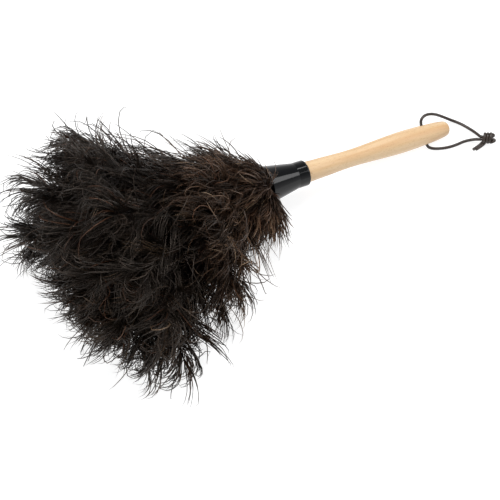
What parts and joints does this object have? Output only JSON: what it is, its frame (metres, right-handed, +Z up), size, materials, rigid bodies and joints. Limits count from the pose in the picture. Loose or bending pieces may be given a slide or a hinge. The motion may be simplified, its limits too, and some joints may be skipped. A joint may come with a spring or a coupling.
{
  "type": "feather duster",
  "caption": "Hand-held ostrich feather duster: a full head of dark curled plumes bound in a tapered black ferrule on a turned pale wood handle with a cord loop.",
  "frame": {"origin": "middle of the underside of the duster as it lies on a flat surface, without its cord and knot", "axes": "+X along the handle from the feathers to the tip, +Z up, and the fuller side of the feathers towards -Y"},
  "size_m": [0.5299, 0.3178, 0.1702],
  "materials": {
    "handle_beech": "satin",
    "ferrule_abs": "gloss",
    "plume_feather": "matte",
    "binding_twine": "matte",
    "cord_leather": "satin"
  },
  "bodies": {
    "duster": {"collar_plume_01": "plume_feather", "collar_plume_02": "plume_feather", "collar_plume_03": "plume_feather", "collar_plume_04": "plume_feather", "collar_plume_05": "plume_feather", "collar_plume_06": "plume_feather", "collar_plume_07": "plume_feather", "collar_plume_08": "plume_feather", "collar_plume_09": "plume_feather", "collar_plume_10": "plume_feather", "collar_plume_11": "plume_feather", "collar_plume_12": "plume_feather", "ferrule": "ferrule_abs", "handle": "handle_beech", "inner_binding": "binding_twine", "inner_plume_01": "plume_feather", "inner_plume_02": "plume_feather", "inner_plume_03": "plume_feather", "inner_plume_04": "plume_feather", "inner_plume_05": "plume_feather", "inner_plume_06": "plume_feather", "inner_plume_07": "plume_feather", "inner_plume_08": "plume_feather", "inner_plume_09": "plume_feather", "middle_binding": "binding_twine", "middle_plume_01": "plume_feather", "middle_plume_02": "plume_feather", "middle_plume_03": "plume_feather", "middle_plume_04": "plume_feather", "middle_plume_05": "plume_feather", "middle_plume_06": "plume_feather", "middle_plume_07": "plume_feather", "middle_plume_08": "plume_feather", "middle_plume_09": "plume_feather", "middle_plume_10": "plume_feather", "middle_plume_11": "plume_feather", "middle_plume_12": "plume_feather", "outer_binding": "binding_twine", "outer_plume_01": "plume_feather", "outer_plume_02": "plume_feather", "outer_plume_03": "plume_feather", "outer_plume_04": "plume_feather", "outer_plume_05": "plume_feather", "outer_plume_06": "plume_feather", "outer_plume_07": "plume_feather", "outer_plume_08": "plume_feather", "outer_plume_09": "plume_feather", "outer_plume_10": "plume_feather", "outer_plume_11": "plume_feather", "outer_plume_12": "plume_feather", "outer_plume_13": "plume_feather", "outer_plume_14": "plume_feather", "outer_plume_15": "plume_feather"},
    "hang_loop": {"hang_cord_upper": "cord_leather", "hang_cord_lower": "cord_leather", "loop_knot": "cord_leather"}
  },
  "joints": [
    {"name": "loop_swing", "type": "hinge", "parent": "duster", "child": "hang_loop", "pos_m": [0.21325, 0.01753, 0.01188], "axis": [0.075, 0.788, 0.6111], "range_deg": [-150, 150]}
  ]
}
